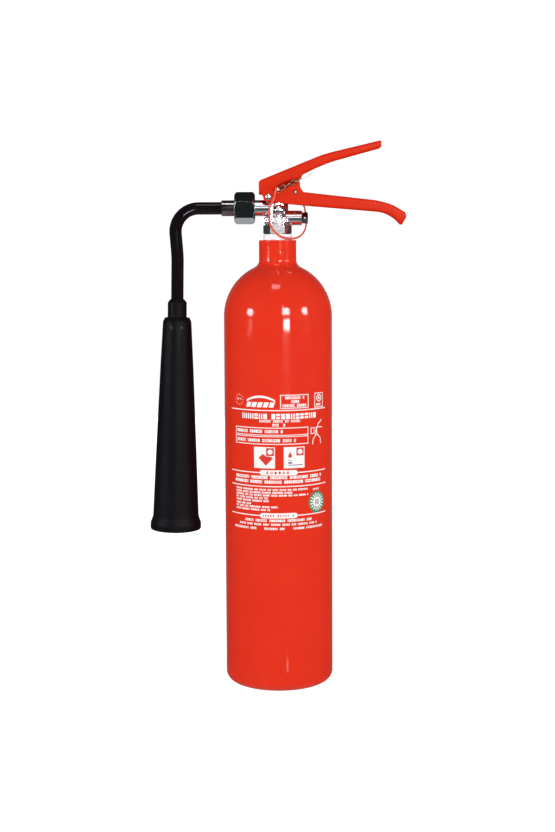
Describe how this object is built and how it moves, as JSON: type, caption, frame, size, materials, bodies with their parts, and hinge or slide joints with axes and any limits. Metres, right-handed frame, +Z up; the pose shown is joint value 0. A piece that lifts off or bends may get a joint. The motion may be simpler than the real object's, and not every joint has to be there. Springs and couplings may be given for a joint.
{
  "type": "fire extinguisher",
  "caption": "Portable carbon dioxide fire extinguisher with a red steel cylinder, squeeze lever, swan neck pipe and black discharge horn.",
  "frame": {"origin": "on the cylinder's axis, at the plane the extinguisher stands on", "axes": "+Z up along the cylinder's axis, +X along the squeeze lever and carrying handle, -X towards the discharge horn, -Y out of the label's middle"},
  "size_m": [0.2572, 0.108, 0.542],
  "materials": {
    "red_paint": "gloss",
    "label": "satin",
    "chrome": "polished",
    "tape": "matt",
    "brass": "satin",
    "steel": "satin",
    "black_nut": "satin",
    "black_pipe": "gloss",
    "black_plastic": "satin",
    "red_plastic": "gloss",
    "rubber": "matt",
    "nylon": "matt",
    "aluminium": "satin"
  },
  "bodies": {
    "extinguisher": {"cylinder_shell": "red_paint", "label_sheet": "label", "valve_body": "chrome", "ptfe_tape": "tape", "dip_tube": "aluminium", "dip_tube_nut": "brass", "valve_seat": "nylon", "stem_o_ring": "rubber", "gland_nut": "chrome", "burst_disc": "brass", "burst_washer": "brass", "burst_plug": "black_nut", "carrying_handle": "red_paint", "pivot_rivet": "steel", "tamper_seal": "red_plastic", "seal_wire": "steel", "pin_chain": "brass", "union_nut": "black_nut", "outlet_seal_ring": "nylon"},
    "stem": {"valve_stem": "steel", "valve_poppet": "nylon", "return_spring": "steel"},
    "lever": {"squeeze_lever": "red_paint", "lever_pad": "red_paint"},
    "pin": {"safety_pin": "steel"},
    "ring": {"pull_ring": "steel"},
    "hose_assembly": {"pipe_ferrule": "black_pipe", "discharge_pipe": "black_pipe", "horn_collar": "black_plastic", "discharge_horn": "black_plastic", "jet_nozzle": "brass", "horn_screws": "black_nut"}
  },
  "joints": [
    {"name": "lever_squeeze", "type": "hinge", "parent": "extinguisher", "child": "lever", "pos_m": [-0.0087, 0, 0.4869], "axis": [0, 1, 0], "range_deg": [0, 14], "stiffness_Nm_per_rad": 1.5, "springref_deg": -11.46},
    {"name": "stem_press", "type": "slide", "parent": "extinguisher", "child": "stem", "axis": [0, 0, -1], "range_m": [0, 0.002], "deforming": ["return_spring"]},
    {"name": "pin_pull", "type": "slide", "parent": "extinguisher", "child": "pin", "axis": [0, 1, 0], "range_m": [0, 0.045]},
    {"name": "ring_swing", "type": "hinge", "parent": "pin", "child": "ring", "pos_m": [0.0176, 0.0186, 0.4915], "axis": [0, 0, -1], "range_deg": [0, 170]},
    {"name": "horn_swivel", "type": "hinge", "parent": "extinguisher", "child": "hose_assembly", "pos_m": [-0.0557, 0, 0.4763], "axis": [1, 0, 0], "continuous": true}
  ],
  "couplings": [
    {"joint": "stem_press", "follows": "lever_squeeze", "m_per_rad": 0.0078}
  ]
}
